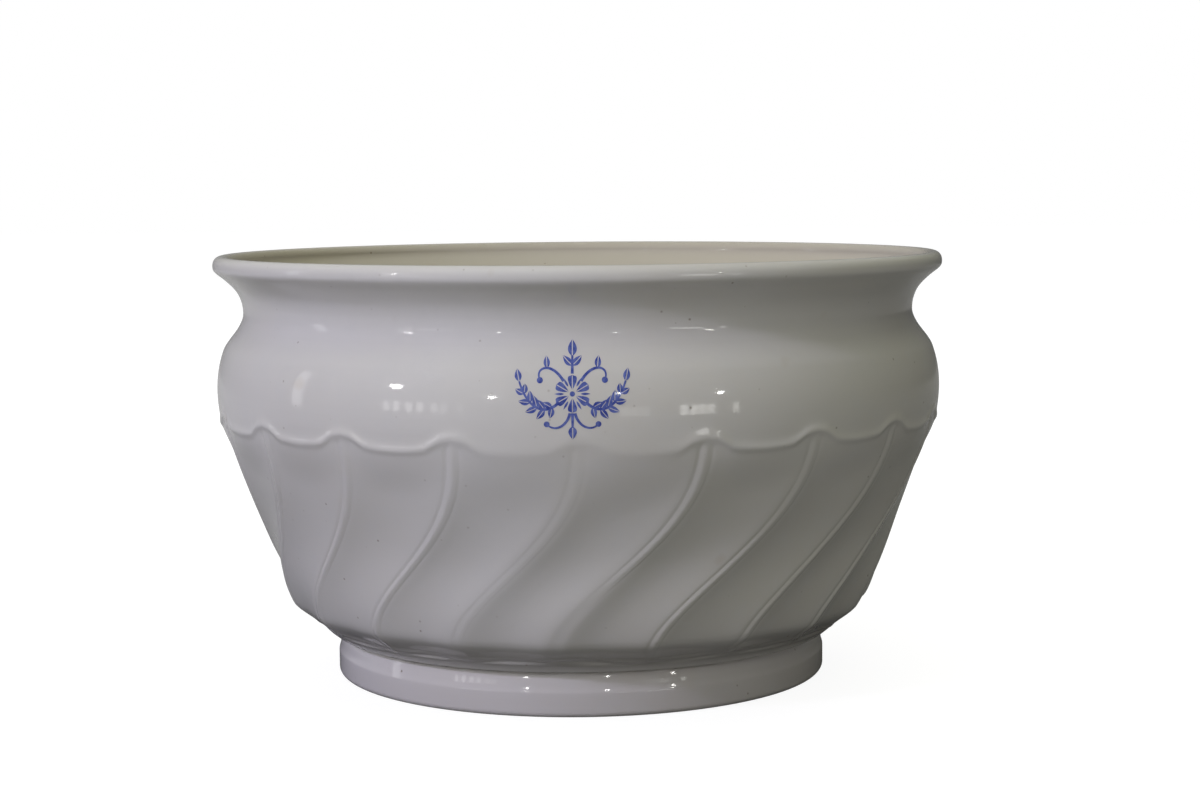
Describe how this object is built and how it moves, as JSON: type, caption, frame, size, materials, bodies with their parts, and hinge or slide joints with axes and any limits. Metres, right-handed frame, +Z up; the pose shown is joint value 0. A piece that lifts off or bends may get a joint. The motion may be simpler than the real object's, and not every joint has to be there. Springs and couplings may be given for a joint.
{
  "type": "chamber pot",
  "caption": "Low wide chamber pot of glazed earthenware with turned flutes under a scalloped edge, a plain shoulder, round lip, turned foot and a loop handle at the back.",
  "frame": {"origin": "middle of the foot's standing face, on the table and on the pot's axis", "axes": "+Z up along the axis of the pot, -Y to the front, +Y to the handle at the back, +X to the right seen from the front"},
  "size_m": [0.23, 0.2721, 0.133],
  "materials": {
    "glaze": "glossy off-white glaze with a few small specks and a faint blue print on the shoulder",
    "slip": "luting slip under the same glaze, slightly greyer in the corners",
    "print": "cobalt blue underglaze print on the front of the shoulder"
  },
  "bodies": {
    "root": {"bowl": "glaze", "foot_ring": "glaze", "foot_slip_joint": "slip", "handle": "glaze", "handle_upper_slip_joint": "slip", "handle_lower_slip_joint": "slip"}
  },
  "joints": []
}
